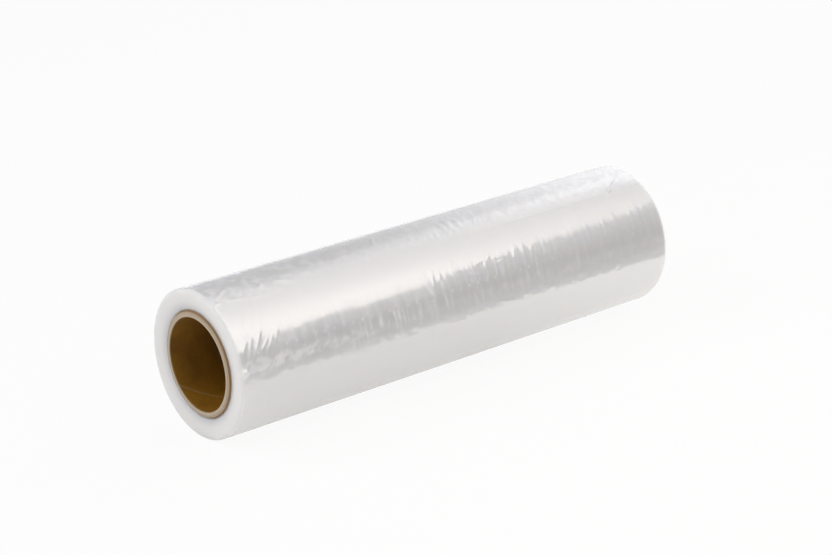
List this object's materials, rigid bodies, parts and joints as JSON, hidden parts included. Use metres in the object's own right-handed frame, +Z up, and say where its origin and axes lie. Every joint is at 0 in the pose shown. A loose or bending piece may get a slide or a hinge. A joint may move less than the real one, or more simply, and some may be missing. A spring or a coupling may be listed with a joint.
{
  "type": "roll of food film",
  "caption": "Roll of clear perforated food film wound on a spiral-wound cardboard core, lying on its side, for tearing off sheets to wrap food.",
  "frame": {"origin": "on the floor, under the middle of the roll", "axes": "+X along the core from the end nearest the picture's camera to the far end, +Z up, -Y the side that faces the camera"},
  "size_m": [0.3, 0.0811, 0.0807],
  "materials": {
    "film": "glossy clear film, milky at the wound ends",
    "cardboard": "matt brown kraft board"
  },
  "bodies": {
    "root": {"film_roll": "film", "cardboard_core": "cardboard"}
  },
  "joints": []
}
